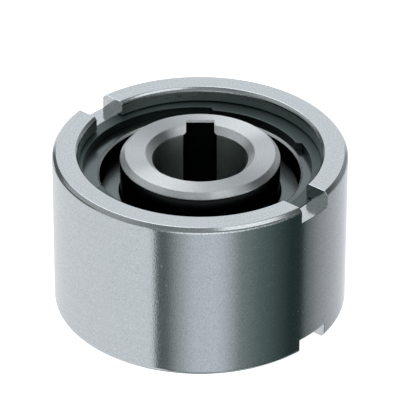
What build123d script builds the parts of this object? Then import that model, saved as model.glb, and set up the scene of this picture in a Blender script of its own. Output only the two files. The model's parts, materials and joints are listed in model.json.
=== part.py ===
from build123d import *
import os
from math import cos, radians, sin, tan

# Freewheel backstop clutch, in millimetres. The origin is the middle of the lower end face, +Z runs up
# the axis, and the X axis runs along the drive slots. Both ends are alike: what is built for the upper
# end is mirrored through the middle plane.

# Outer ring, with its wall round the end bores and round the race
outer_diameter = 62.0
width = 36.0
rim_chamfer = 0.8
end_wall = 5.5
mouth_chamfer = 0.6
race_wall = 6.7
race_width = 10.4
slot_width = 8.2
slot_depth = 3.5

# Groove for the circlip, in each end bore
groove_depth = 1.3
groove_inset = 3.2
groove_width = 1.95

# Circlip: an eccentric ring with a wide arc opposite its gap and a lug on each side of the gap
circlip_thickness = 1.75
circlip_free_play = 0.05
eye_band = 2.75
eye_offset = 1.0
wide_arc_band = 4.75
wide_arc_span = 61.0
lug_band = 4.65
lug_span = 19.0
gap_span = 22.0
lug_hole_diameter = 2.2
step_fillet = 0.4
circlip_edge_break = 0.15
circlip_gap_angle = 273.0

# Cover ring, held between the circlip and the shoulder of the outer ring, and its bearing bush
seat_clearance = 0.02
cover_wall = 4.4
cover_bore_chamfer = 0.5
cover_edge_chamfer = 0.4
bush_wall = 4.25
bush_width = 3.2
bush_chamfer = 0.3
running_clearance = 0.03

# Inner ring: hub, journals and the star that carries the ramps
bore_diameter = 20.0
bore_chamfer = 1.5
hub_inset = 0.65
hub_chamfer = 1.1
tooth_clearance = 0.3
end_play = 0.1
key_width = 6.0
key_depth = 2.8
key_edge_break = 0.25
key_angle = 130.0

# Rollers and ramps. Seen from above the gap narrows anticlockwise, so the inner ring runs free
# anticlockwise and locks clockwise.
roller_count = 6
roller_diameter = 7.0
roller_edge_break = 0.3
wedge_angle = 7.0
contact_gap = 0.02
roller_room_behind = 1.0
roller_room_ahead = 1.0
front_rise_angle = 9.0

# Plungers and springs, in holes drilled along the ramps
plunger_diameter = 3.0
plunger_length = 3.2
plunger_clearance = 0.05
plunger_drop = 0.5
plunger_edge_break = 0.25
spring_hole_depth = 5.9
wire_diameter = 0.3
wire_sides = 6
spring_diameter = 2.6
spring_turns = 3.5

# Levels and radii that follow
middle = width / 2
shoulder = (width + race_width) / 2
groove_top = width - groove_inset
groove_bottom = groove_top - groove_width
outer_radius = outer_diameter / 2
end_bore_radius = outer_radius - end_wall
race_radius = outer_radius - race_wall
groove_radius = end_bore_radius + groove_depth
circlip_radius = groove_radius - circlip_free_play
cover_bore_radius = end_bore_radius - cover_wall
bush_outer_radius = cover_bore_radius - seat_clearance
bush_inner_radius = bush_outer_radius - bush_wall
hub_radius = bush_inner_radius - running_clearance
bore_radius = bore_diameter / 2
hub_top = width - hub_inset
bush_top = shoulder + bush_width
star_radius = race_radius - tooth_clearance
star_length = race_width - 2 * end_play
roller_length = star_length - 2 * end_play
roller_radius = roller_diameter / 2
roller_orbit = race_radius - roller_radius - contact_gap
roller_out = roller_orbit * cos(radians(wedge_angle))
roller_along = roller_orbit * sin(radians(wedge_angle))
ramp_out = roller_out - roller_radius - contact_gap
pocket_back = roller_along - roller_radius - roller_room_behind
ramp_end = roller_along + roller_radius + roller_room_ahead
star_phase = key_angle + 180 / roller_count
plunger_out = roller_out - plunger_drop
plunger_tip = roller_along - roller_radius - contact_gap
plunger_rear = plunger_tip - plunger_length
spring_hole_end = pocket_back - spring_hole_depth


def turned(profile):
    """A solid of revolution about Z from (radius, height) corners."""
    return revolve(Plane.XZ * make_face(Polyline(*profile, close=True)), Axis.Z)


def mirrored(solid):
    """The same piece at the lower end."""
    return mirror(solid, Plane.XY.offset(middle))


def sector(inner_radius, outer_radius_of_arc, centre_angle, span):
    """A flat piece of a ring, span degrees wide, about an angle."""
    reach = 2 * outer_radius_of_arc
    half = span / 2
    corners = [(0, 0)]
    for angle in (centre_angle - half, centre_angle, centre_angle + half):
        corners.append((reach * cos(radians(angle)), reach * sin(radians(angle))))
    ring = Circle(outer_radius_of_arc) - Circle(inner_radius)
    return ring & make_face(Polyline(*corners, close=True))


def along_ramp(radius, start, end):
    """A round bar that lies along the ramp at angle zero, at the plungers' height."""
    bar = Cylinder(radius, start - end, align=(Align.CENTER, Align.CENTER, Align.MIN))
    return Pos(plunger_out, start, middle) * Rot(90, 0, 0) * bar


def make_outer_ring():
    body = Cylinder(outer_radius, width, align=(Align.CENTER, Align.CENTER, Align.MIN))
    body = chamfer(body.edges().filter_by(GeomType.CIRCLE), rim_chamfer)
    bore_cut = turned([
        (0, shoulder),
        (end_bore_radius, shoulder),
        (end_bore_radius, groove_bottom),
        (groove_radius, groove_bottom),
        (groove_radius, groove_top),
        (end_bore_radius, groove_top),
        (end_bore_radius, width - mouth_chamfer),
        (end_bore_radius + mouth_chamfer, width),
        (0, width),
    ])
    slot_cut = Pos(0, 0, width) * Box(
        outer_diameter + 2, slot_width, slot_depth, align=(Align.CENTER, Align.CENTER, Align.MAX))
    race_cut = Cylinder(race_radius, width, align=(Align.CENTER, Align.CENTER, Align.MIN))
    for cut in (bore_cut, slot_cut):
        body = body - cut - mirrored(cut)
    return body - race_cut


def make_cover_ring():
    """The steel ring under the circlip. It seats on the shoulder and carries the bush."""
    rim = end_bore_radius - seat_clearance
    return turned([
        (cover_bore_radius, shoulder),
        (rim - cover_edge_chamfer, shoulder),
        (rim, shoulder + cover_edge_chamfer),
        (rim, groove_bottom - cover_edge_chamfer),
        (rim - cover_edge_chamfer, groove_bottom),
        (cover_bore_radius + cover_bore_chamfer, groove_bottom),
        (cover_bore_radius, groove_bottom - cover_bore_chamfer),
    ])


def make_bush():
    """The plain bearing that the hub runs in."""
    return turned([
        (bush_inner_radius + bush_chamfer, shoulder),
        (bush_outer_radius, shoulder),
        (bush_outer_radius, bush_top - bush_chamfer),
        (bush_outer_radius - bush_chamfer, bush_top),
        (bush_inner_radius + bush_chamfer, bush_top),
        (bush_inner_radius, bush_top - bush_chamfer),
        (bush_inner_radius, shoulder + bush_chamfer),
    ])


def make_circlip():
    """The internal circlip, lying on the lower side of its groove."""
    rim = circlip_radius
    lug_inner_radius = rim - lug_band
    gap_direction = Vector(cos(radians(circlip_gap_angle)), sin(radians(circlip_gap_angle)))
    eye_centre = gap_direction * eye_offset
    lug_angle = (gap_span + lug_span) / 2
    flat = Circle(rim) - Pos(eye_centre.X, eye_centre.Y) * Circle(rim - eye_band)
    flat += sector(rim - wide_arc_band, rim, circlip_gap_angle + 180, wide_arc_span)
    for side in (-1, 1):
        flat += sector(lug_inner_radius, rim, circlip_gap_angle + side * lug_angle, lug_span)
    flat -= sector(lug_inner_radius / 2, outer_diameter, circlip_gap_angle, gap_span)
    inner_corners = flat.vertices().filter_by(lambda corner: Vector(*corner).length < rim - step_fillet)
    flat = fillet(inner_corners, step_fillet)
    hole_orbit = (lug_inner_radius + rim) / 2
    for side in (-1, 1):
        angle = radians(circlip_gap_angle + side * lug_angle)
        flat -= Pos(hole_orbit * cos(angle), hole_orbit * sin(angle)) * Circle(lug_hole_diameter / 2)
    solid = Pos(0, 0, groove_bottom) * extrude(flat, circlip_thickness)
    face_edges = solid.faces().sort_by(Axis.Z)[-1].edges()
    return chamfer(face_edges, circlip_edge_break)


def make_inner_ring():
    half_star = star_length / 2
    bottom = width - hub_top
    body = turned([
        (bore_radius, bottom + bore_chamfer),
        (bore_radius + bore_chamfer, bottom),
        (hub_radius - hub_chamfer, bottom),
        (hub_radius, bottom + hub_chamfer),
        (hub_radius, middle - half_star),
        (star_radius, middle - half_star),
        (star_radius, middle + half_star),
        (hub_radius, middle + half_star),
        (hub_radius, hub_top - hub_chamfer),
        (hub_radius - hub_chamfer, hub_top),
        (bore_radius + bore_chamfer, hub_top),
        (bore_radius, hub_top - bore_chamfer),
    ])
    beyond = 2 * race_radius
    rise = (beyond - ramp_end) * tan(radians(front_rise_angle))
    pocket_outline = make_face(Polyline(
        (ramp_out, pocket_back),
        (ramp_out, ramp_end),
        (ramp_out + rise, beyond),
        (beyond, beyond),
        (beyond, pocket_back),
        close=True))
    pocket = Pos(0, 0, middle - half_star) * extrude(pocket_outline, star_length)
    hole = along_ramp(plunger_diameter / 2 + plunger_clearance, pocket_back + 1, spring_hole_end)
    for index in range(roller_count):
        turn = Rot(0, 0, star_phase + index * 360 / roller_count)
        body = body - turn * pocket - turn * hole
    key_reach = bore_radius + key_depth
    keyway = Pos(0, 0, middle) * Box(
        key_reach, key_width, width, align=(Align.MIN, Align.CENTER, Align.CENTER))
    body = body - Rot(0, 0, key_angle) * keyway
    end_faces = [face for face in body.faces().filter_by(Axis.Z)
                 if min(abs(face.center().Z - hub_top), abs(face.center().Z - bottom)) < key_edge_break / 10]
    key_edges = [edge for face in end_faces for edge in face.edges()
                 if edge.geom_type == GeomType.LINE]
    return chamfer(key_edges, key_edge_break)


def make_roller():
    """One roller, wedged between the race and the ramp at angle zero."""
    roller = Cylinder(roller_radius, roller_length)
    roller = chamfer(roller.edges().filter_by(GeomType.CIRCLE), roller_edge_break)
    return Pos(roller_out, roller_along, middle) * roller


def make_plunger():
    """The pin that pushes the roller up the ramp."""
    pin = along_ramp(plunger_diameter / 2, plunger_tip, plunger_rear)
    return chamfer(pin.edges().filter_by(GeomType.CIRCLE), plunger_edge_break)


def make_spring():
    """The compression spring behind the plunger. Its wire is many-sided, to stay light."""
    room = plunger_rear - spring_hole_end
    rise = room - wire_diameter - 2 * contact_gap
    coil_radius = (spring_diameter - wire_diameter) / 2
    coil = Helix(pitch=rise / spring_turns, height=rise, radius=coil_radius)
    section = Plane(origin=coil @ 0, z_dir=coil % 0) * RegularPolygon(wire_diameter / 2, wire_sides)
    spring = sweep(section, path=coil, is_frenet=True)
    start = plunger_rear - contact_gap - wire_diameter / 2
    return Pos(plunger_out, start, middle) * Rot(90, 0, 0) * spring


parts = {"outer_ring": make_outer_ring(), "inner_ring": make_inner_ring()}
for name, piece in (("circlip", make_circlip()), ("cover_ring", make_cover_ring()), ("bush", make_bush())):
    parts["upper_" + name] = piece
    parts["lower_" + name] = mirrored(piece)
for name, piece in (("roller", make_roller()), ("plunger", make_plunger()), ("spring", make_spring())):
    for index in range(roller_count):
        turn = Rot(0, 0, star_phase + index * 360 / roller_count)
        parts[f"{name}_{index + 1}"] = turn * piece

os.makedirs("parts", exist_ok=True)
for name, piece in parts.items():
    export_step(piece, f"parts/{name}.step")
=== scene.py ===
# %% [markdown]
# # A freewheel backstop clutch
# A freewheel lets a shaft turn one way and holds it the other way. This one is a plain steel sleeve with a
# hub inside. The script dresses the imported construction: it turns, cuts and rounds every piece again as a
# fine mesh at the same place and size, gives it a finish, and sets a studio round it. The frame comes first,
# because every piece takes its place from it.

# %% The frame
import json
from math import atan2, cos, degrees, pi, radians, sin, sqrt, tan

import bmesh
import bpy
from mathutils import Matrix, Vector


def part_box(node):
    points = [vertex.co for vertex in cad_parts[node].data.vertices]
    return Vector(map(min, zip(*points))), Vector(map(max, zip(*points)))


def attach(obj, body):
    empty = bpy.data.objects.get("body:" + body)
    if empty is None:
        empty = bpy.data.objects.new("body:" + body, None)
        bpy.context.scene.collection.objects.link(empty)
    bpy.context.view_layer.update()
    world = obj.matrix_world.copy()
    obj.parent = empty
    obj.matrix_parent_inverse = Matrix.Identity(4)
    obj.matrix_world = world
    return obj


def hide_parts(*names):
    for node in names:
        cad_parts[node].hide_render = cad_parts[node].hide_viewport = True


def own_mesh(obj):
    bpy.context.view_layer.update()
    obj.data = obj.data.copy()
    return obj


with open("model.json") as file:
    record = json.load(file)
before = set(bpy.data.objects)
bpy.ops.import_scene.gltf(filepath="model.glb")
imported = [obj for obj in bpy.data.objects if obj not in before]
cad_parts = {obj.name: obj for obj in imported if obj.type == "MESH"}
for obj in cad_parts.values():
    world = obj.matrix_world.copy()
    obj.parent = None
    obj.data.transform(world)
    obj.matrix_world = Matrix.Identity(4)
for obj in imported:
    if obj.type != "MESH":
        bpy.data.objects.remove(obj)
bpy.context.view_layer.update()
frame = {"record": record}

mm = 0.001
outer_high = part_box("outer_ring")[1]
outer_radius = outer_high[0]
width = outer_high[2]
middle = width / 2
print(f"outer ring: {outer_radius * 2000:.1f} mm outside, {width * 1000:.1f} mm wide")

# %% [markdown]
# ## A studio for polished metal
# Bare metal has almost no colour of its own. It shows the room. So the room is drawn before any finish is
# chosen: a white room with dark flags and one soft box. It is a pattern on the direction in which a ray
# leaves, built from four belts that lie one above the other. Each belt is a ramp over the bearing. The lowest
# one is what the upright wall of the sleeve mirrors, and its flags become the dark bands that tell the eye
# that the wall is round. The belts above it show in the edges and chamfers. The camera itself sees white.

# %% Directions in the room
camera_direction = -50.0
camera_elevation = 31.47
camera_distance = 0.789
aim_height = 0.02359
camera_roll = 0.17
focal_length = 339.7


def new_node(tree, kind, label="", **settings):
    """A shader node with its settings made."""
    node = tree.nodes.new(kind)
    node.label = label
    for key, value in settings.items():
        setattr(node, key, value)
    return node


def link_in(tree, node, sockets):
    """Fill a node's inputs with links or plain values."""
    for key, value in sockets.items():
        if isinstance(value, bpy.types.NodeSocket):
            tree.links.new(value, node.inputs[key])
        else:
            node.inputs[key].default_value = value


def math_node(tree, operation, *values, label="", clamp=False):
    """One sum on sockets or numbers."""
    node = new_node(tree, "ShaderNodeMath", label, operation=operation, use_clamp=clamp)
    link_in(tree, node, dict(enumerate(values)))
    return node.outputs[0]


def ramp_node(tree, fac, stops, label=""):
    """A colour ramp from (place, grey or colour) stops."""
    node = new_node(tree, "ShaderNodeValToRGB", label)
    ramp = node.color_ramp
    while len(ramp.elements) < len(stops):
        ramp.elements.new(0.5)
    for element, (place, tone) in zip(ramp.elements, stops):
        element.position = place
        element.color = (*tone, 1) if isinstance(tone, tuple) else (tone, tone, tone, 1)
    tree.links.new(fac, node.inputs[0])
    return node.outputs[0]


def mix_colours(tree, fac, first, second, label=""):
    """A colour mix of two sockets or colours."""
    node = new_node(tree, "ShaderNodeMix", label, data_type="RGBA")
    link_in(tree, node, {0: fac, 6: first, 7: second})
    return node.outputs[2]


# %% The room as a pattern on direction
world = bpy.data.worlds.new("white room with flags")
bpy.context.scene.world = world
world.use_nodes = True
room = world.node_tree
room.nodes.clear()
look = new_node(room, "ShaderNodeTexCoord", "direction")
parts_of = new_node(room, "ShaderNodeSeparateXYZ")
room.links.new(look.outputs["Generated"], parts_of.inputs[0])
east, north, up = parts_of.outputs
bearing = math_node(room, "ARCTAN2", north, east, label="bearing")
from_camera = math_node(room, "SUBTRACT", bearing, radians(camera_direction), label="from the camera's")
turn_share = math_node(room, "ADD", math_node(room, "DIVIDE", from_camera, 2 * pi), 0.5)
turn_share = math_node(room, "FRACT", turn_share, label="0 and 1 behind, 0.5 in front")


def at_bearing(angle):
    """Where a bearing in degrees from the camera's, anticlockwise from above, lies on the ramp."""
    return angle / 360 + 0.5


def belt(stops, label):
    """One belt of the room, from {bearing: colour} stops."""
    stops_on_ramp = [(at_bearing(angle), tone) for angle, tone in stops.items()]
    return ramp_node(room, turn_share, stops_on_ramp, label=label)


def share_of(height, dark, light):
    """0 up to one height and 1 from another on, with a slope between."""
    return ramp_node(room, height, [(dark, 0.0), (light, 1.0)])


white = (0.88, 0.91, 0.95)
ceiling = (0.70, 0.73, 0.75, 1)
shade_below = (0.07, 0.085, 0.085, 1)
soft_box_light = (2.3, 2.35, 2.4, 1)
soft_box_bearing = -152.0
soft_box_elevation = 56.0
low_belt = belt({
    -180: (0.86, 0.88, 0.90), -37: (0.84, 0.87, 0.91), -34: (0.12, 0.14, 0.145), -26: (0.13, 0.155, 0.16),
    -15: (0.42, 0.47, 0.48), -4: (0.66, 0.70, 0.76), 12: (0.69, 0.73, 0.80), 20: (0.58, 0.62, 0.67),
    32: (0.24, 0.28, 0.28), 48: (0.125, 0.165, 0.165), 66: (0.055, 0.08, 0.08), 76: (0.025, 0.042, 0.042),
    87: (0.025, 0.042, 0.042), 92: (0.16, 0.18, 0.185), 109: (0.38, 0.39, 0.41), 143: (0.66, 0.68, 0.72),
    170: white}, "below the horizon")
horizon_belt = belt({
    -180: white, -158: white, -145: (0.12, 0.13, 0.13), -85: (0.12, 0.13, 0.13), -65: (0.75, 0.78, 0.80),
    -30: (0.60, 0.63, 0.66), -12: (1.9, 1.95, 2.0), 68: (1.9, 1.95, 2.0), 78: (0.05, 0.06, 0.06),
    105: (0.07, 0.08, 0.08), 122: (0.27, 0.29, 0.30), 145: (0.34, 0.36, 0.38), 158: white}, "at the horizon")
middle_belt = belt({
    -180: white, -158: white, -142: (0.30, 0.32, 0.33), -110: (0.46, 0.48, 0.49), -70: (0.38, 0.40, 0.41),
    -40: (0.28, 0.30, 0.31), 40: (0.28, 0.30, 0.31), 70: (0.09, 0.095, 0.095), 110: (0.10, 0.105, 0.105),
    142: (0.20, 0.21, 0.21), 158: white}, "above the horizon")
high_belt = belt({
    -180: (0.62, 0.65, 0.67), -120: (0.46, 0.48, 0.49), -73: (0.43, 0.45, 0.46), -39: (0.22, 0.24, 0.245),
    0: (0.30, 0.32, 0.33), 14: (0.40, 0.42, 0.43), 26: (1.20, 1.23, 1.26), 70: (1.20, 1.23, 1.26),
    80: (0.32, 0.35, 0.36), 130: (0.10, 0.11, 0.11), 165: (0.50, 0.53, 0.55)}, "overhead")
behind = belt({-180: 1.0, -164: 1.0, -150: 0.0, 150: 0.0, 164: 1.0}, "behind the part")
# A ramp reads 0 to 1 only, so what lies below the horizon is told apart by this share.
up_share = math_node(room, "MULTIPLY_ADD", up, 0.5, 0.5, label="0 straight down, 1 straight up")
far_below = ramp_node(room, up_share, [(0.10, 1.0), (0.16, 0.0)])
below_and_behind = math_node(room, "MULTIPLY", behind, far_below)
flagged = mix_colours(room, below_and_behind, low_belt, shade_below, label="low belt and its shade")
for height, dark, light, next_belt in ((up_share, 0.42, 0.47, horizon_belt), (up, 0.26, 0.36, middle_belt),
                                       (up, 0.60, 0.74, high_belt), (up, 0.90, 0.96, ceiling)):
    flagged = mix_colours(room, share_of(height, dark, light), flagged, next_belt, label="and the belt above")
soft_box = new_node(room, "ShaderNodeVectorMath", "nearness to the soft box", operation="DOT_PRODUCT")
room.links.new(look.outputs["Generated"], soft_box.inputs[0])
soft_box.inputs[1].default_value = (
    cos(radians(soft_box_elevation)) * cos(radians(camera_direction + soft_box_bearing)),
    cos(radians(soft_box_elevation)) * sin(radians(camera_direction + soft_box_bearing)),
    sin(radians(soft_box_elevation)))
in_soft_box = share_of(soft_box.outputs["Value"], 0.945, 0.975)
flagged = mix_colours(room, in_soft_box, flagged, soft_box_light, label="room and soft box")
light_path = new_node(room, "ShaderNodeLightPath")
shown = mix_colours(room, light_path.outputs["Is Camera Ray"], flagged, (1, 1, 1, 1),
                    label="the camera sees white")
background = new_node(room, "ShaderNodeBackground")
link_in(room, background, {"Color": shown})
world_output = new_node(room, "ShaderNodeOutputWorld")
room.links.new(background.outputs[0], world_output.inputs[0])
print("room:", len(room.nodes), "nodes")

# %% [markdown]
# ## The camera
# The photograph was taken from far away with a long lens, so the upright sides hardly lean. The camera is
# placed by its bearing, its angle above the rim and its distance, and is aimed at a point on the axis.

# %% Camera
aim = Vector((0, 0, aim_height))
ray = Vector((cos(radians(camera_elevation)) * cos(radians(camera_direction)),
              cos(radians(camera_elevation)) * sin(radians(camera_direction)),
              sin(radians(camera_elevation))))
camera_data = bpy.data.cameras.new("camera")
camera_data.lens = focal_length
camera_data.clip_end = 20
camera = bpy.data.objects.new("camera", camera_data)
camera.location = Vector((0, 0, width)) + ray * camera_distance
camera.rotation_euler = (camera.location - aim).to_track_quat("Z", "Y").to_euler()
camera.rotation_euler.rotate_axis("Z", radians(camera_roll))
bpy.context.scene.collection.objects.link(camera)
bpy.context.scene.camera = camera
bpy.context.scene.view_settings.view_transform = "Standard"

# %% [markdown]
# ## The floor
# The part stands on a pale table that runs out of sight. The table glows a little for the camera alone, so
# that it comes out white and still takes the soft shadow beside the rim. Metal doesn't mirror it: the walls
# of the room go on below the part instead, so the bands on the sleeve run down to its lower edge. A dark
# disc, smaller than the part, lies out of sight beneath it as painted shade and keeps the bore dark.

# %% Floor
floor_reach = 6.0
floor_glow = 0.86
shade_disc_radius = 24 * mm
shade_disc_lift = 0.05 * mm
floor_mesh = bmesh.new()
bmesh.ops.create_circle(floor_mesh, cap_ends=True, segments=96, radius=floor_reach)
floor_data = bpy.data.meshes.new("floor")
floor_mesh.to_mesh(floor_data)
floor_mesh.free()
floor = bpy.data.objects.new("floor", floor_data)
bpy.context.scene.collection.objects.link(floor)
floor.visible_glossy = False
floor_material = bpy.data.materials.new("pale table")
floor_material.use_nodes = True
table_tree = floor_material.node_tree
table_tree.nodes.clear()
table_path = new_node(table_tree, "ShaderNodeLightPath")
table_seen = math_node(table_tree, "ADD", table_path.outputs["Is Camera Ray"],
                       table_path.outputs["Is Glossy Ray"])
table_seen = math_node(table_tree, "ADD", table_seen, table_path.outputs["Is Transmission Ray"])
matt = new_node(table_tree, "ShaderNodeBsdfDiffuse")
link_in(table_tree, matt, {"Color": (0.86, 0.86, 0.86, 1)})
glow = new_node(table_tree, "ShaderNodeEmission")
link_in(table_tree, glow, {"Strength": math_node(table_tree, "MULTIPLY", table_seen, floor_glow)})
both = new_node(table_tree, "ShaderNodeAddShader")
link_in(table_tree, both, {0: matt.outputs[0], 1: glow.outputs[0]})
table_output = new_node(table_tree, "ShaderNodeOutputMaterial")
table_tree.links.new(both.outputs[0], table_output.inputs[0])
floor_data.materials.append(floor_material)

# A dark disc under the bore, out of sight: painted shade standing in for the table in the part's shadow.
shade_disc_mesh = bmesh.new()
bmesh.ops.create_circle(shade_disc_mesh, cap_ends=True, segments=96, radius=shade_disc_radius)
bmesh.ops.translate(shade_disc_mesh, verts=shade_disc_mesh.verts, vec=(0, 0, shade_disc_lift))
shade_disc_data = bpy.data.meshes.new("shade_disc")
shade_disc_mesh.to_mesh(shade_disc_data)
shade_disc_mesh.free()
shade_disc = bpy.data.objects.new("shade_disc", shade_disc_data)
bpy.context.scene.collection.objects.link(shade_disc)
shade_disc_material = bpy.data.materials.new("painted shade disc")
shade_disc_material.use_nodes = True
shade_disc_shader = shade_disc_material.node_tree.nodes["Principled BSDF"]
shade_disc_shader.inputs["Base Color"].default_value = (0.012, 0.013, 0.013, 1)
shade_disc_shader.inputs["Roughness"].default_value = 0.95
shade_disc_data.materials.append(shade_disc_material)

# %% [markdown]
# ## Lathe and grinder marks
# Nearly every surface here was turned or ground about the same axis. The tool leaves fine rings: on a face
# they differ with the radius, on a wall with the height, and round the part they hardly change. One group
# makes them for all finishes. It feeds a noise with the radius, the height and a slow walk round the axis, so
# the marks have no seam.

# %% Group: rings left by the tool
def new_group(name, inputs, outputs):
    """An empty shader group with float inputs and outputs."""
    group = bpy.data.node_groups.new(name, "ShaderNodeTree")
    for label, value in inputs.items():
        socket = group.interface.new_socket(label, in_out="INPUT", socket_type="NodeSocketFloat")
        socket.default_value = value
    for label in outputs:
        group.interface.new_socket(label, in_out="OUTPUT", socket_type="NodeSocketFloat")
    return group, group.nodes.new("NodeGroupInput"), group.nodes.new("NodeGroupOutput")


rings, rings_in, rings_out = new_group(
    "tool rings", {"Rings per mm": 4.0, "Drift": 6.0, "Coarse share": 0.35}, ["Height", "Tone"])
place = new_node(rings, "ShaderNodeTexCoord")
axes = new_node(rings, "ShaderNodeSeparateXYZ")
rings.links.new(place.outputs["Object"], axes.inputs[0])
flat_square = math_node(rings, "ADD", math_node(rings, "MULTIPLY", axes.outputs[0], axes.outputs[0]),
                        math_node(rings, "MULTIPLY", axes.outputs[1], axes.outputs[1]))
radius_here = math_node(rings, "SQRT", flat_square, label="radius")
safe_radius = math_node(rings, "MAXIMUM", radius_here, 0.1 * mm)
per_metre = math_node(rings, "MULTIPLY", rings_in.outputs["Rings per mm"], 1 / mm)
cosine = math_node(rings, "DIVIDE", axes.outputs[0], safe_radius)
sine = math_node(rings, "DIVIDE", axes.outputs[1], safe_radius)


def ring_noise(density, drift, detail):
    """Noise that is drawn out into rings."""
    spot = new_node(rings, "ShaderNodeCombineXYZ")
    link_in(rings, spot, {0: math_node(rings, "MULTIPLY", radius_here, density),
                          1: math_node(rings, "MULTIPLY", axes.outputs[2], density),
                          2: math_node(rings, "MULTIPLY", cosine, drift)})
    noise = new_node(rings, "ShaderNodeTexNoise", noise_dimensions="4D")
    link_in(rings, noise, {"Vector": spot.outputs[0], "W": math_node(rings, "MULTIPLY", sine, drift),
                           "Scale": 1.0, "Detail": detail, "Roughness": 0.6})
    return noise.outputs[0]


fine = ring_noise(per_metre, rings_in.outputs["Drift"], 3.0)
coarse = ring_noise(math_node(rings, "MULTIPLY", per_metre, 0.16),
                    math_node(rings, "MULTIPLY", rings_in.outputs["Drift"], 0.3), 2.0)
mixed = new_node(rings, "ShaderNodeMix", data_type="FLOAT")
link_in(rings, mixed, {0: rings_in.outputs["Coarse share"], 2: fine, 3: coarse})
rings.links.new(mixed.outputs[0], rings_out.inputs["Height"])
rings.links.new(math_node(rings, "SUBTRACT", mixed.outputs[0], 0.5), rings_out.inputs["Tone"])

# %% [markdown]
# ## Grain, specks and fine scratches
# Close up the ground wall sparkles: grains of the steel catch the light one by one, with a few specks and
# short hairlines from handling. The second group makes these three, so that every finish can take its own
# share of each. A finish with a positive share of specks has dark ones, as where oil has dried, and one with
# a negative share has light ones, as where the steel was touched.

# %% Group: what handling leaves
specks_per_metre = 1100.0
hairlines_per_metre = (2600.0, 120.0, 900.0)
hairline_turn = (0.5, 0.9, 0.3)
handling, handling_in, handling_out = new_group(
    "handling", {"Grain per mm": 3.0}, ["Grain", "Specks", "Hairlines"])
spot = new_node(handling, "ShaderNodeTexCoord").outputs["Object"]


def noise_in(tree, vector, scale, detail=2.0, rough=0.5):
    """A plain noise on a vector."""
    noise = new_node(tree, "ShaderNodeTexNoise")
    link_in(tree, noise, {"Vector": vector, "Scale": scale, "Detail": detail, "Roughness": rough})
    return noise.outputs[0]


grain_scale = math_node(handling, "MULTIPLY", handling_in.outputs["Grain per mm"], 1 / mm)
grain = math_node(handling, "SUBTRACT", noise_in(handling, spot, grain_scale, 1.0), 0.5)
handling.links.new(grain, handling_out.inputs["Grain"])
speck_noise = noise_in(handling, spot, specks_per_metre, 3.0, 0.65)
specks = ramp_node(handling, speck_noise, [(0.66, 0.0), (0.72, 1.0)])
handling.links.new(specks, handling_out.inputs["Specks"])
stretch = new_node(handling, "ShaderNodeMapping")
link_in(handling, stretch, {"Vector": spot, "Rotation": hairline_turn, "Scale": hairlines_per_metre})
hair_noise = noise_in(handling, stretch.outputs[0], 1.0)
hairlines = ramp_node(handling, hair_noise, [(0.70, 0.0), (0.76, 1.0)])
handling.links.new(hairlines, handling_out.inputs["Hairlines"])

# %% [markdown]
# ## The finishes
# Each finish is a metal with its own colour, roughness and depth of marks. The rings lie round the axis, so
# a reflection is smeared across them and stays sharp along them: that is what the anisotropy and the radial
# tangent do. A metal turns light where it is seen at a glancing angle. The walls deep inside are painted
# almost black as painted shade and get a dark edge tint, so that they stay dark at a glancing angle too.
# The numbers that hold for the whole surface are set on the shader itself.

# %% Finishes
quarter_turn = 0.25
ring_tone = 0.25
ring_gloss = 0.3
speck_gloss = 0.15
mark_depth = 0.02 * mm


def metal(name, colour, roughness, anisotropy=0.0, ring_count=4.0, ring_depth=0.3, grain=0.1, specks=0.2,
          hairlines=0.1, edge_tint=1.0, grain_depth=0.5):
    """A worked metal: colour, gloss and how much of each kind of mark."""
    material = bpy.data.materials.new(name)
    material.use_nodes = True
    tree = material.node_tree
    tree.nodes.clear()
    marks = new_node(tree, "ShaderNodeGroup", "tool rings", node_tree=rings)
    link_in(tree, marks, {"Rings per mm": ring_count})
    handled = new_node(tree, "ShaderNodeGroup", "handling", node_tree=handling)
    level = math_node(tree, "MULTIPLY_ADD", marks.outputs["Tone"], ring_tone, 1.0)
    level = math_node(tree, "MULTIPLY_ADD", handled.outputs["Grain"], grain, level)
    level = math_node(tree, "SUBTRACT", level, math_node(tree, "MULTIPLY", handled.outputs["Specks"], specks))
    level = math_node(tree, "MULTIPLY_ADD", handled.outputs["Hairlines"], hairlines, level)
    tinted = new_node(tree, "ShaderNodeVectorMath", "colour times level", operation="SCALE")
    tinted.inputs[0].default_value = colour
    tree.links.new(level, tinted.inputs["Scale"])
    gloss = math_node(tree, "MULTIPLY_ADD", marks.outputs["Tone"], ring_gloss * roughness, roughness)
    gloss = math_node(tree, "MULTIPLY_ADD", handled.outputs["Specks"], speck_gloss, gloss, clamp=True)
    bump = new_node(tree, "ShaderNodeBump")
    relief = math_node(tree, "MULTIPLY_ADD", handled.outputs["Grain"], grain_depth, marks.outputs["Height"])
    link_in(tree, bump, {"Strength": ring_depth, "Distance": mark_depth, "Height": relief})
    shader = new_node(tree, "ShaderNodeBsdfPrincipled")
    link_in(tree, shader, {"Base Color": tinted.outputs[0], "Metallic": 1.0, "Roughness": gloss,
                           "Anisotropic": anisotropy, "Anisotropic Rotation": quarter_turn,
                           "Specular Tint": (edge_tint, edge_tint, edge_tint, 1), "Normal": bump.outputs[0]})
    if anisotropy:
        tangent = new_node(tree, "ShaderNodeTangent", direction_type="RADIAL", axis="Z")
        tree.links.new(tangent.outputs[0], shader.inputs["Tangent"])
    output = new_node(tree, "ShaderNodeOutputMaterial")
    tree.links.new(shader.outputs[0], output.inputs[0])
    return material


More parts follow.
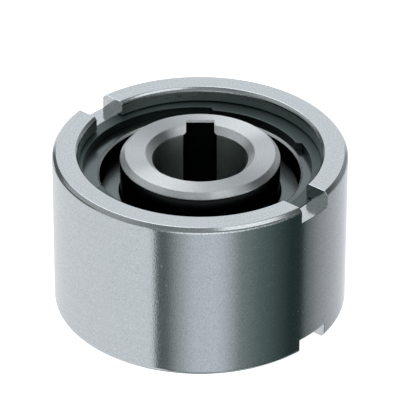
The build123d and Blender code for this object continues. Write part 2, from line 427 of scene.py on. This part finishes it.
finishes = {
    "ground_steel": metal("ground steel", (0.60, 0.625, 0.63), 0.13, anisotropy=0.3, ring_count=5.0,
                          ring_depth=0.3, grain=0.5, specks=-0.15, hairlines=0.12, grain_depth=1.5),
    "bored_steel": metal("bored steel", (0.50, 0.56, 0.55), 0.28, anisotropy=0.8, ring_depth=0.1, grain=0.25),
    "turned_steel": metal("turned steel", (0.61, 0.625, 0.63), 0.33, anisotropy=1.0, ring_depth=0.1,
                          grain=0.4, specks=0.1),
    "honed_bore": metal("honed bore", (0.52, 0.58, 0.55), 0.30, anisotropy=0.9, ring_depth=0.05, grain=0.2),
    # Painted shade: the walls deep inside are coloured almost black where they lie in shade.
    "shade_painted_wall": metal("wall painted dark as shade", (0.03, 0.033, 0.033), 0.25, ring_depth=0.05, edge_tint=0.2),
    # The cover steel is given a dark tone: painted shade for the recess the cover sits in.
    "cover_steel": metal("cover steel", (0.15, 0.175, 0.175), 0.20, anisotropy=0.6, ring_count=3.0,
                         ring_depth=0.2, grain=0.3),
    # A painted highlight: the chamfer of a cover's bore is coloured light to show a bright line.
    "painted_highlight_chamfer": metal("chamfer painted light as highlight", (0.80, 0.82, 0.82), 0.40, ring_depth=0.05),
    "bush_metal": metal("bush metal", (0.20, 0.23, 0.225), 0.30, ring_count=3.0, ring_depth=0.05, grain=0.2,
                        specks=0.3),
    "spring_steel": metal("spring steel", (0.095, 0.12, 0.115), 0.38, ring_count=3.0, ring_depth=0.05,
                          grain=0.5, specks=0.3),
    "roller_steel": metal("roller steel", (0.72, 0.73, 0.73), 0.12, ring_count=6.0, ring_depth=0.05,
                          grain=0.05, specks=0.05),
    "pin_steel": metal("pin steel", (0.60, 0.62, 0.62), 0.25, ring_count=6.0, ring_depth=0.05, specks=0.1),
    "spring_wire": metal("spring wire", (0.46, 0.47, 0.48), 0.28, ring_count=6.0, ring_depth=0.05,
                         specks=0.05),
}
print("finishes:", ", ".join(finishes))

# %% [markdown]
# ## Helpers for turned work
# Nearly every piece is turned, so one helper spins a profile round the axis, and one breaks the sharp rings
# that the spin leaves. A real edge is never perfectly sharp: the lathe hand takes it down by a tenth of a
# millimetre, and that thin round is what catches the light in the photograph. A third helper makes the
# finished object, swaps it for the construction's node and gives it the node's finish.

# %% Turned work
edge_break = 0.12
ring_steps = 256
flat_edge_angle = radians(8)
least_edge_angle = radians(20)
level_within = 0.001 * mm
ring_within = 0.05 * mm
finish_margin = 0.05
body_names = frame["record"]["behaviour"]["bodies"]
bodies_of = {node: body for body, nodes in body_names.items() for node in nodes}
slots_of = {row["node"]: row["material_slot"] for row in frame["record"]["subparts"]}


def turned(profile, steps=ring_steps):
    """A full turn of a closed (radius, height) profile in millimetres."""
    mesh = bmesh.new()
    corners = [mesh.verts.new((radius * mm, 0, height * mm)) for radius, height in profile]
    outline = [mesh.edges.new(pair) for pair in zip(corners, corners[1:] + corners[:1])]
    bmesh.ops.spin(mesh, geom=corners + outline, cent=(0, 0, 0), axis=(0, 0, 1), angle=2 * pi,
                   steps=steps, use_merge=True)
    bmesh.ops.recalc_face_normals(mesh, faces=mesh.faces)
    return mesh


def lies_at(point, corners):
    """True if a point lies on one of the rings given as (radius, height)."""
    return any(abs(point.xy.length - radius * mm) < ring_within and abs(point.z - height * mm) < ring_within
               for radius, height in corners)


def break_edges(mesh, size=edge_break, skip=(), only=(), level_only=False):
    """Round the outward edges a little: all but the rings to skip, or only the rings that are named."""
    chosen = []
    for edge in mesh.edges:
        first, last = (vert.co for vert in edge.verts)
        level = abs(first.z - last.z) < level_within
        sharp = len(edge.link_faces) == 2 and edge.is_convex and edge.calc_face_angle() > least_edge_angle
        if not sharp or (level_only and not level) or (level and lies_at(first, skip)):
            continue
        if not only or (level and lies_at(first, only)):
            chosen.append(edge)
    bmesh.ops.bevel(mesh, geom=chosen, offset=size * mm, offset_type="OFFSET", segments=2, profile=0.5,
                    affect="EDGES", material=-1, clamp_overlap=True)


def finished(name, mesh, node, sharp_over=flat_edge_angle, deeper=()):
    """The mesh as an object that stands for a node, rides on its body and has its finish.

    Each row of deeper is a finish, a depth below the nearer end of the sleeve and a radius, in millimetres.
    The faces that lie deeper and inside the radius get that finish."""
    data = bpy.data.meshes.new(name)
    bmesh.ops.recalc_face_normals(mesh, faces=mesh.faces)
    mesh.to_mesh(data)
    mesh.free()
    for polygon in data.polygons:
        polygon.use_smooth = True
    data.set_sharp_from_angle(angle=sharp_over)
    piece = bpy.data.objects.new(name, data)
    bpy.context.scene.collection.objects.link(piece)
    data.materials.append(finishes[slots_of[node]])
    # Some rows of deeper put painted shade and a painted highlight on the deep faces.
    for index, (finish, least_depth, within_radius) in enumerate(deeper, start=1):
        data.materials.append(finishes[finish])
        for polygon in data.polygons:
            depth = middle - abs(polygon.center.z - middle)
            if depth > least_depth * mm and polygon.center.xy.length < within_radius * mm:
                polygon.material_index = index
    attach(piece, bodies_of[node])
    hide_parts(node)
    print(f"{name}: {len(data.polygons)} faces for {node}")
    return piece


# %% [markdown]
# ## Channels across a turned piece
# The drive slots of the sleeve are milled after turning. A boolean would do it, but three flat cuts leave
# cleaner faces: two cuts for the walls and one for the floor. What lies between them is deleted, and the two
# walls and the floor are filled again from the open edges.

# %% Milled channels
def cut_channel(mesh, turn, half_width, floor_point, open_side):
    """Mill a straight channel at an angle. Locally it runs on +X, and open_side points out of the floor."""
    to_local = Matrix.Rotation(-turn, 3, "Z")
    bmesh.ops.rotate(mesh, verts=mesh.verts, cent=(0, 0, 0), matrix=to_local)
    floor_point, open_side = Vector(floor_point) * mm, Vector(open_side)
    half = half_width * mm
    tiny = 0.0005 * mm

    def above_floor(point):
        return (point - floor_point).dot(open_side)

    def cut(chosen, point, normal):
        faces = [face for face in mesh.faces if chosen(face.calc_center_median())]
        edges = {edge for face in faces for edge in face.edges}
        verts = {vert for face in faces for vert in face.verts}
        bmesh.ops.bisect_plane(mesh, geom=faces + list(edges) + list(verts), dist=tiny / 10,
                               plane_co=point, plane_no=normal)

    for side in (half, -half):
        cut(lambda middle_point: middle_point.x > 0, (0, side, 0), (0, 1, 0))
    cut(lambda middle_point: middle_point.x > 0 and abs(middle_point.y) < half, floor_point, open_side)
    waste = []
    for face in mesh.faces:
        centre = face.calc_center_median()
        if centre.x > 0 and abs(centre.y) < half - tiny and above_floor(centre) > tiny:
            waste.append(face)
    bmesh.ops.delete(mesh, geom=waste, context="FACES")

    rim = [edge for edge in mesh.edges if edge.is_boundary]
    on_floor = {vert for edge in rim for vert in edge.verts if abs(above_floor(vert.co)) < tiny}
    foot_lines = []
    for side in (half, -half):
        on_side = {vert for edge in rim for vert in edge.verts if abs(vert.co.y - side) < tiny}
        foot = mesh.edges.new(tuple(on_side & on_floor))
        foot_lines.append(foot)
        wall = [edge for edge in rim if set(edge.verts) <= on_side]
        bmesh.ops.contextual_create(mesh, geom=wall + [foot])
    ends = [edge for edge in rim if set(edge.verts) <= on_floor]
    bmesh.ops.contextual_create(mesh, geom=ends + foot_lines)
    bmesh.ops.rotate(mesh, verts=mesh.verts, cent=(0, 0, 0), matrix=to_local.inverted())
    bmesh.ops.recalc_face_normals(mesh, faces=mesh.faces)


# %% [markdown]
# ## The ground sleeve
# The sleeve is one thick ring. Its outside is ground to fit a housing, each end is bored out for a cover and
# grooved for a circlip, and the race for the rollers is ground in the middle. The profile is drawn for the
# upper end and repeated upside down for the lower one.

# %% Sleeve
rim_chamfer = 0.8
mouth_chamfer = 0.6
end_bore = 25.5
groove_radius = 26.8
groove_top = width / mm - 3.2
groove_foot = groove_top - 1.95
race_radius = 24.3
shoulder = width / mm / 2 + 5.2
slot_half_width = 4.1
slot_floor = width / mm - 3.5
wall_edge_break = 0.32
slot_edge_break = 0.09
inside_reach = groove_radius + 0.5
top = width / mm
outside = outer_radius / mm

upper_half = [
    (race_radius, shoulder), (end_bore, shoulder), (end_bore, groove_foot), (groove_radius, groove_foot),
    (groove_radius, groove_top), (end_bore, groove_top), (end_bore, top - mouth_chamfer),
    (end_bore + mouth_chamfer, top), (outside - rim_chamfer, top), (outside, top - rim_chamfer),
]
lower_half = [(radius, top - height) for radius, height in reversed(upper_half)]
sleeve_mesh = turned(upper_half + lower_half)
inner_corners = [(race_radius, shoulder), (end_bore, shoulder), (groove_radius, groove_foot),
                 (groove_radius, groove_top)]
inner_corners += [(radius, top - height) for radius, height in inner_corners]
for turn in (0, pi):
    cut_channel(sleeve_mesh, turn, slot_half_width, (0, 0, slot_floor), (0, 0, 1))
    cut_channel(sleeve_mesh, turn, slot_half_width, (0, 0, top - slot_floor), (0, 0, -1))
wall_edges = [(outside, top - rim_chamfer), (outside, rim_chamfer), (end_bore, top - mouth_chamfer),
              (end_bore, mouth_chamfer)]
break_edges(sleeve_mesh, slot_edge_break, skip=inner_corners + wall_edges)
break_edges(sleeve_mesh, wall_edge_break, only=wall_edges)
finished("ground_sleeve", sleeve_mesh, "outer_ring",
         deeper=[("bored_steel", mouth_chamfer + wall_edge_break, inside_reach)])

# %% [markdown]
# ## Hub, journals and star
# The inner ring is turned in one piece: a hub at each end and a thicker band, the star, in the middle. The
# keyway runs the length of the bore, and its edges are broken at the bore and at both end faces. The star
# gets six pockets, each with a flat ramp for a roller, and a blind hole along the ramp for the plunger and
# its spring. Here a boolean takes everything away at once, because the holes run into the pocket walls.

# %% Hub and star
bore = 10.0
bore_chamfer = 1.5
hub_radius = 16.8
hub_chamfer = 1.1
hub_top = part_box("inner_ring")[1][2] / mm
wall_depth = 1.95
key_angle = radians(130)
key_half_width = 3.0
key_reach = 12.8
key_edge_break = 0.4
key_floor_within = 0.5
key_overshoot = 2.0
pocket_overshoot = 1.0
star_radius = 24.0
star_half = 5.1
pocket_count = 6
ramp_out = 17.105
pocket_back = -1.968
ramp_end = 7.032
front_rise = radians(9)
plunger_out = 20.125
hole_radius = 1.55
hole_end = -7.868
half_height = middle / mm
pocket_angles = [key_angle + pi / pocket_count + index * 2 * pi / pocket_count
                 for index in range(pocket_count)]

upper_half = [
    (star_radius, half_height + star_half), (hub_radius, half_height + star_half),
    (hub_radius, hub_top - hub_chamfer), (hub_radius - hub_chamfer, hub_top),
    (bore + bore_chamfer, hub_top), (bore, hub_top - bore_chamfer),
]
lower_half = [(radius, top - height) for radius, height in reversed(upper_half)]
hub_mesh = turned(upper_half + lower_half)
break_edges(hub_mesh)

cutters = bmesh.new()
bore_corner = sqrt(bore ** 2 - key_half_width ** 2)
mouth_half_width = key_half_width + 2 * key_edge_break
keyway_outline = [
    (bore_corner - key_overshoot, -mouth_half_width), (bore_corner - key_edge_break, -mouth_half_width),
    (bore_corner + key_edge_break, -key_half_width), (key_reach, -key_half_width),
]
keyway_outline += [(x, -y) for x, y in reversed(keyway_outline)]
key_turn = Matrix.Rotation(key_angle, 3, "Z")


def block(outline, foot_height, rise):
    """A block over an (x, y) outline in the cutters, and the corners of its foot and of its far end."""
    foot = [cutters.verts.new((x * mm, y * mm, foot_height * mm)) for x, y in outline]
    grown = bmesh.ops.extrude_face_region(cutters, geom=[cutters.faces.new(foot)])["geom"]
    far = [item for item in grown if isinstance(item, bmesh.types.BMVert)]
    bmesh.ops.translate(cutters, verts=far, vec=(0, 0, rise * mm))
    return foot, far


block(keyway_outline, -key_overshoot / 2, top + key_overshoot)
flare_outline = [(bore_corner, -key_half_width), (key_reach, -key_half_width), (key_reach, key_half_width),
                 (bore_corner, key_half_width)]
for end_height, outwards in ((hub_top, 1), (top - hub_top, -1)):
    flare = block(flare_outline, end_height - outwards * key_edge_break, outwards * 2 * key_edge_break)[1]
    for vert in flare:
        if vert.co.x > (key_reach - key_floor_within) * mm:
            vert.co.x += 2 * key_edge_break * mm
bmesh.ops.rotate(cutters, verts=cutters.verts, cent=(0, 0, 0), matrix=key_turn)
beyond = 2 * race_radius
rise = (beyond - ramp_end) * tan(front_rise)
pocket_outline = [(ramp_out, pocket_back), (ramp_out, ramp_end), (ramp_out + rise, beyond), (beyond, beyond),
                  (beyond, pocket_back)]
for angle in pocket_angles:
    turn = Matrix.Rotation(angle, 3, "Z")
    feet, tops = block(pocket_outline, half_height - star_half - pocket_overshoot,
                       2 * (star_half + pocket_overshoot))
    bmesh.ops.rotate(cutters, verts=feet + tops, cent=(0, 0, 0), matrix=turn)
    length = pocket_back + pocket_overshoot - hole_end
    drill = bmesh.ops.create_cone(cutters, cap_ends=True, segments=48, radius1=hole_radius * mm,
                                  radius2=hole_radius * mm, depth=length * mm)["verts"]
    bmesh.ops.rotate(cutters, verts=drill, cent=(0, 0, 0), matrix=Matrix.Rotation(pi / 2, 3, "X"))
    bmesh.ops.translate(cutters, verts=drill, vec=(plunger_out * mm, (hole_end + length / 2) * mm, middle))
    bmesh.ops.rotate(cutters, verts=drill, cent=(0, 0, 0), matrix=turn)
bmesh.ops.recalc_face_normals(cutters, faces=cutters.faces)


weld_within = 0.001 * mm


def cut_away(mesh, cutter_mesh):
    """The mesh with the cutters taken away, as a new mesh."""
    pair = []
    for label, part in (("blank", mesh), ("cutter", cutter_mesh)):
        data = bpy.data.meshes.new(label)
        part.to_mesh(data)
        part.free()
        holder = bpy.data.objects.new(label, data)
        bpy.context.scene.collection.objects.link(holder)
        pair.append(holder)
    blank, cutter = pair
    tool = blank.modifiers.new("cut", "BOOLEAN")
    tool.operation = "DIFFERENCE"
    tool.solver = "EXACT"
    tool.use_self = True
    tool.object = cutter
    bpy.context.view_layer.update()
    done = bpy.data.meshes.new_from_object(blank.evaluated_get(bpy.context.evaluated_depsgraph_get()))
    result = bmesh.new()
    result.from_mesh(done)
    bmesh.ops.remove_doubles(result, verts=result.verts, dist=weld_within)
    bmesh.ops.triangulate(result, faces=[face for face in result.faces if len(face.verts) > 4],
                          quad_method="BEAUTY", ngon_method="BEAUTY")
    for holder in pair:
        bpy.data.objects.remove(holder)
    return result


# Everything of the hub and star deeper than wall_depth below its ends, all but the bore, is painted almost
# black: painted shade.
finished("hub_and_star", cut_away(hub_mesh, cutters), "inner_ring",
         deeper=[("shade_painted_wall", wall_depth, race_radius), ("honed_bore", wall_depth, bore + finish_margin)])

# %% [markdown]
# ## Cover rings and bushes
# Each end is closed by a steel ring pressed into the sleeve, and a thin bush inside it carries the hub. Both
# are plain turned rings, so each is one profile, used again upside down at the other end. The chamfer of a
# cover's bore is painted light as a painted highlight, and the bore below it is painted dark: painted shade.

# %% Cover rings and bushes
cover_bore = 21.1
cover_seat = 25.48
cover_top = 30.85
cover_chamfer = 0.4
cover_bore_chamfer = 0.5
bush_bore = 16.83
bush_seat = 21.08
bush_top = 26.4
bush_chamfer = 0.3
small_break = 0.06
cover_profile = [
    (cover_bore, shoulder), (cover_seat - cover_chamfer, shoulder), (cover_seat, shoulder + cover_chamfer),
    (cover_seat, cover_top - cover_chamfer), (cover_seat - cover_chamfer, cover_top),
    (cover_bore + cover_bore_chamfer, cover_top), (cover_bore, cover_top - cover_bore_chamfer),
]
bush_profile = [
    (bush_bore + bush_chamfer, shoulder), (bush_seat, shoulder), (bush_seat, bush_top - bush_chamfer),
    (bush_seat - bush_chamfer, bush_top), (bush_bore + bush_chamfer, bush_top),
    (bush_bore, bush_top - bush_chamfer), (bush_bore, shoulder + bush_chamfer),
]
cover_depth = top - cover_top
# The cover's bore chamfer gets a painted highlight, and the bore below it gets painted shade.
cover_painted_highlight_and_shade = [
    ("painted_highlight_chamfer", cover_depth + finish_margin, cover_bore + cover_bore_chamfer - finish_margin),
    ("shade_painted_wall", cover_depth + cover_bore_chamfer - finish_margin, end_bore),
]


def at_end(profile, end):
    """A profile drawn for the upper end, or the same upside down for the lower one."""
    return profile if end == "upper" else [(radius, top - height) for radius, height in profile]


for end in ("upper", "lower"):
    for name, profile, deeper in (("cover_ring", cover_profile, cover_painted_highlight_and_shade), ("bush", bush_profile, [])):
        ring_mesh = turned(at_end(profile, end))
        break_edges(ring_mesh, small_break)
        finished(f"{end}_turned_{name}", ring_mesh, f"{end}_{name}", deeper=deeper)

# %% [markdown]
# ## Circlips
# A circlip for a bore is stamped from spring steel. It is narrow beside its gap, wide opposite, and has two
# lugs with holes for the pliers. Stamping leaves it flat with a small round on its edges. The outline is spun
# as a plain band, and then the inner edge is pulled to its place at each angle.

# %% Circlips
clip_foot = groove_foot
clip_top = clip_foot + 1.75
clip_outside = 26.75
clip_gap_angle = 273.0
clip_gap_half = 11.0
clip_eye = 24.0
clip_offset = 1.0
clip_wide_radius = 22.0
clip_wide_half = 30.5
clip_lug_radius = 22.1
clip_lug_centre = 20.5
clip_lug_half = 9.5
clip_steps = 420
clip_hole = 1.1
clip_hole_orbit = (clip_outside + clip_lug_radius) / 2
punch_length = 6.0


def within(distance, half_span, ease=1.0):
    """1 inside a span of degrees and 0 outside it, with a short slope between."""
    return min(max((half_span - abs(distance)) / ease + 0.5, 0.0), 1.0)


def clip_inner(from_gap):
    """The inner radius of the band at an angle in degrees from the middle of the gap."""
    side = radians(from_gap)
    eye = clip_offset * cos(side) + sqrt(clip_eye ** 2 - (clip_offset * sin(side)) ** 2)
    wide = within(abs(from_gap) - 180, clip_wide_half)
    lug = within(abs(from_gap) - clip_lug_centre, clip_lug_half)
    return eye + (clip_wide_radius - eye) * wide + (clip_lug_radius - eye) * lug


def circlip(end):
    """One circlip as a mesh, in its groove."""
    mesh = bmesh.new()
    marker = clip_wide_radius - 2
    band = [(marker, clip_foot), (clip_outside, clip_foot), (clip_outside, clip_top), (marker, clip_top)]
    outline = at_end(band, end)
    corners = [mesh.verts.new((radius * mm, 0, height * mm)) for radius, height in outline]
    edges = [mesh.edges.new(pair) for pair in zip(corners, corners[1:] + corners[:1])]
    bmesh.ops.rotate(mesh, verts=corners, cent=(0, 0, 0),
                     matrix=Matrix.Rotation(radians(clip_gap_angle + clip_gap_half), 3, "Z"))
    bmesh.ops.spin(mesh, geom=corners + edges, cent=(0, 0, 0), axis=(0, 0, 1),
                   angle=radians(360 - 2 * clip_gap_half), steps=clip_steps, use_merge=False)
    for vert in mesh.verts:
        if vert.co.xy.length < (marker + 0.5) * mm:
            from_gap = (degrees(atan2(vert.co.y, vert.co.x)) - clip_gap_angle + 180) % 360 - 180
            vert.co.xy = vert.co.xy.normalized() * clip_inner(from_gap) * mm
    bmesh.ops.holes_fill(mesh, edges=[edge for edge in mesh.edges if edge.is_boundary], sides=4)
    bmesh.ops.recalc_face_normals(mesh, faces=mesh.faces)
    break_edges(mesh, edge_break, level_only=True)
    punches = bmesh.new()
    for side in (-1, 1):
        angle = radians(clip_gap_angle + side * clip_lug_centre)
        punch = bmesh.ops.create_cone(punches, cap_ends=True, segments=40, radius1=clip_hole * mm,
                                      radius2=clip_hole * mm, depth=punch_length * mm)["verts"]
        height = (clip_foot + clip_top) / 2
        bmesh.ops.translate(punches, verts=punch, vec=(
            clip_hole_orbit * cos(angle) * mm, clip_hole_orbit * sin(angle) * mm,
            (height if end == "upper" else top - height) * mm))
    return cut_away(mesh, punches)


for end in ("upper", "lower"):
    finished(f"{end}_stamped_circlip", circlip(end), f"{end}_circlip")

# %% [markdown]
# ## Rollers, plungers and springs
# Each pocket of the star holds a roller, and a plunger with a spring behind it keeps the roller in the narrow
# end of its wedge. All three are small, so they are built in the pocket's own directions and turned to each
# pocket. A spring is a round wire spun along a screw line; in the clutch it is squashed when its plunger
# moves back, and here it is built at one length, on a mesh of its own.

# %% Rollers, plungers and springs
roller_radius = 3.5
roller_length = 10.0
roller_out = 20.625
roller_along = 2.532
plunger_radius = 1.5
plunger_length = 3.2
roller_round = 0.3
plunger_round = 0.25
touch_gap = 0.02
plunger_tip = roller_along - roller_radius - touch_gap
plunger_rear = plunger_tip - plunger_length
wire_radius = 0.15
wire_sides = 10
coil_radius = 1.15
coil_turns = 3.5
coil_steps = 84
spring_room = plunger_rear - hole_end


def rod(radius, length, end_round, segments):
    """A round rod along Z about the origin, with rounded end edges."""
    mesh = bmesh.new()
    bmesh.ops.create_cone(mesh, cap_ends=True, segments=segments, radius1=radius * mm, radius2=radius * mm,
                          depth=length * mm)
    rims = [edge for edge in mesh.edges if abs(edge.verts[0].co.z - edge.verts[1].co.z) < level_within]
    bmesh.ops.bevel(mesh, geom=rims, offset=end_round * mm, offset_type="OFFSET", segments=3, profile=0.5,
                    affect="EDGES", material=-1, clamp_overlap=True)
    return mesh


def coil():
    """A coil of round wire, from the end of its hole at the origin along +Y, both ends closed."""
    mesh = bmesh.new()
    ring = bmesh.ops.create_circle(mesh, cap_ends=False, segments=wire_sides,
                                   radius=wire_radius * mm)["verts"]
    bmesh.ops.rotate(mesh, verts=ring, cent=(0, 0, 0), matrix=Matrix.Rotation(pi / 2, 3, "X"))
    bmesh.ops.rotate(mesh, verts=ring, cent=(0, 0, 0), matrix=Matrix.Rotation(pi / 2, 3, "Z"))
    bmesh.ops.translate(mesh, verts=ring, vec=(0, wire_radius * mm, coil_radius * mm))
    rise = (spring_room - 2 * wire_radius) / coil_steps
    bmesh.ops.spin(mesh, geom=list(mesh.verts) + list(mesh.edges), cent=(0, 0, 0), axis=(0, 1, 0),
                   dvec=(0, rise * mm, 0), angle=2 * pi * coil_turns, steps=coil_steps, use_merge=False)
    bmesh.ops.holes_fill(mesh, edges=[edge for edge in mesh.edges if edge.is_boundary], sides=wire_sides)
    bmesh.ops.recalc_face_normals(mesh, faces=mesh.faces)
    return mesh


def to_pocket(mesh, angle, out, along):
    """Move a mesh built at the origin to a place in the pocket at this angle."""
    bmesh.ops.translate(mesh, verts=mesh.verts, vec=(out * mm, along * mm, middle))
    bmesh.ops.rotate(mesh, verts=mesh.verts, cent=(0, 0, 0), matrix=Matrix.Rotation(angle, 3, "Z"))
    return mesh


for number, angle in enumerate(pocket_angles, start=1):
    roller_mesh = rod(roller_radius, roller_length, roller_round, 96)
    to_pocket(roller_mesh, angle, roller_out, roller_along)
    finished(f"ground_roller_{number}", roller_mesh, f"roller_{number}")

    plunger_mesh = rod(plunger_radius, plunger_length, plunger_round, 48)
    bmesh.ops.rotate(plunger_mesh, verts=plunger_mesh.verts, cent=(0, 0, 0),
                     matrix=Matrix.Rotation(pi / 2, 3, "X"))
    to_pocket(plunger_mesh, angle, plunger_out, plunger_tip - plunger_length / 2)
    finished(f"ground_plunger_{number}", plunger_mesh, f"plunger_{number}")

    coil_mesh = to_pocket(coil(), angle, plunger_out, hole_end)
    wound = finished(f"wound_spring_{number}", coil_mesh, f"spring_{number}", sharp_over=radians(60))
    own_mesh(wound)
